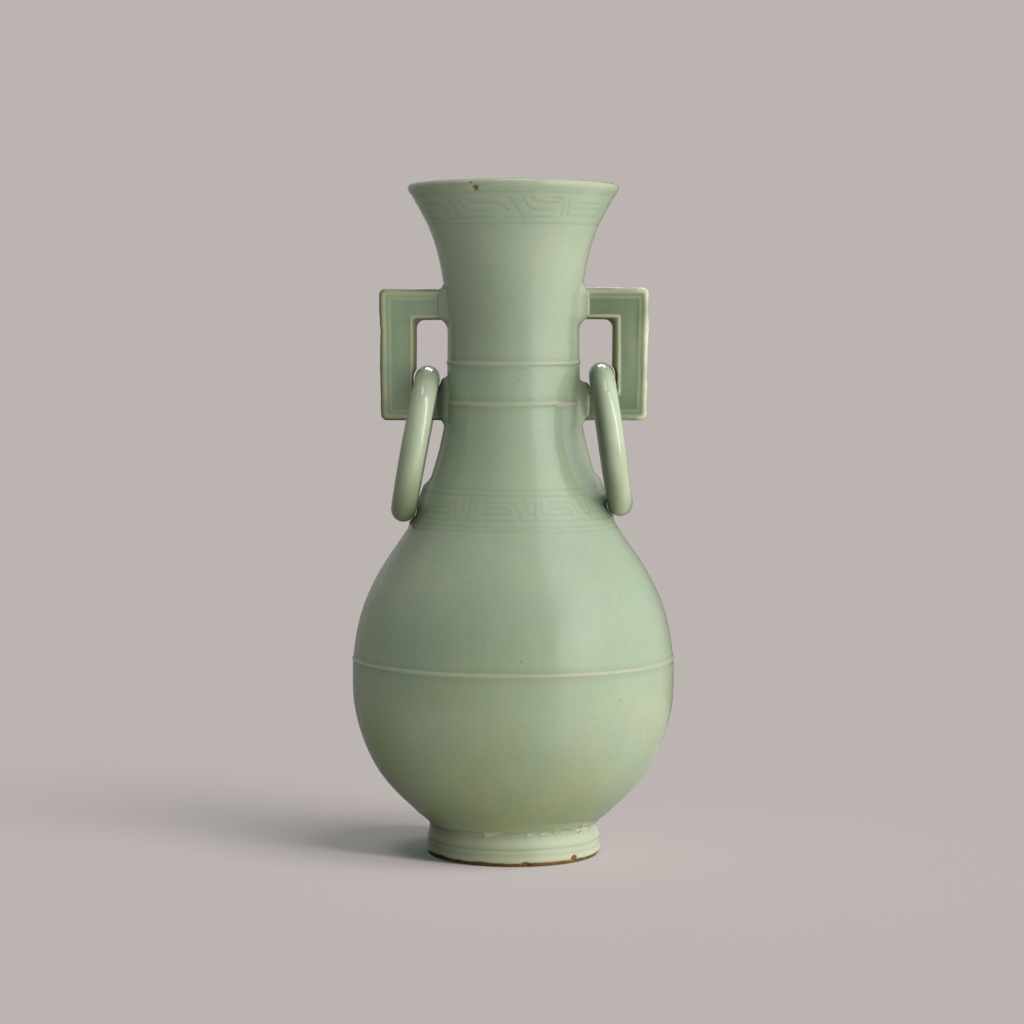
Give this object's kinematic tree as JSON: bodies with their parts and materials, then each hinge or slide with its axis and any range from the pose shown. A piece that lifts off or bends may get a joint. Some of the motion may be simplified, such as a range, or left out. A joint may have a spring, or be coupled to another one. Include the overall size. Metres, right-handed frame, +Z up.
{
  "type": "twin-handled ring vase",
  "caption": "Pear-shaped celadon vase with a trumpet mouth, turned foot, raised ribs, incised fret bands and square bracket handles that carry loose swinging rings.",
  "frame": {"origin": "centre of the foot's resting plane", "axes": "+Z up along the vase's axis to the mouth, +X towards the right-hand handle, -Y towards the viewer of the front"},
  "size_m": [0.1254, 0.1254, 0.26],
  "materials": {
    "celadon_body": "thick glossy grey-green celadon glaze, darker where it pools",
    "celadon_pale": "thin celadon glaze that breaks to a pale beige over raised edges",
    "celadon_handle": "celadon glaze pooled bluish-green in the recessed faces, pale along the edges",
    "celadon_ring": "glossy celadon glaze on a hand-rolled cord"
  },
  "bodies": {
    "vase": {"foot_ring": "celadon_pale", "base_disc": "celadon_body", "lower_body": "celadon_body", "belly_rib": "celadon_pale", "upper_body": "celadon_body", "lower_neck_rib": "celadon_pale", "neck_collar": "celadon_body", "upper_neck_rib": "celadon_pale", "trumpet_neck": "celadon_body", "right_handle": "celadon_handle", "right_upper_lug": "celadon_body", "right_lower_lug": "celadon_body", "left_handle": "celadon_handle", "left_upper_lug": "celadon_body", "left_lower_lug": "celadon_body"},
    "left_ring": {"left_ring": "celadon_ring"},
    "right_ring": {"right_ring": "celadon_ring"}
  },
  "joints": [
    {"name": "left_ring_swing", "type": "hinge", "parent": "vase", "child": "left_ring", "pos_m": [-0.0331, 0, 0.18475], "axis": [0, 1, 0], "range_deg": [0, 160]},
    {"name": "right_ring_swing", "type": "hinge", "parent": "vase", "child": "right_ring", "pos_m": [0.034, 0, 0.18585], "axis": [0, -1, 0], "range_deg": [0, 160]}
  ]
}
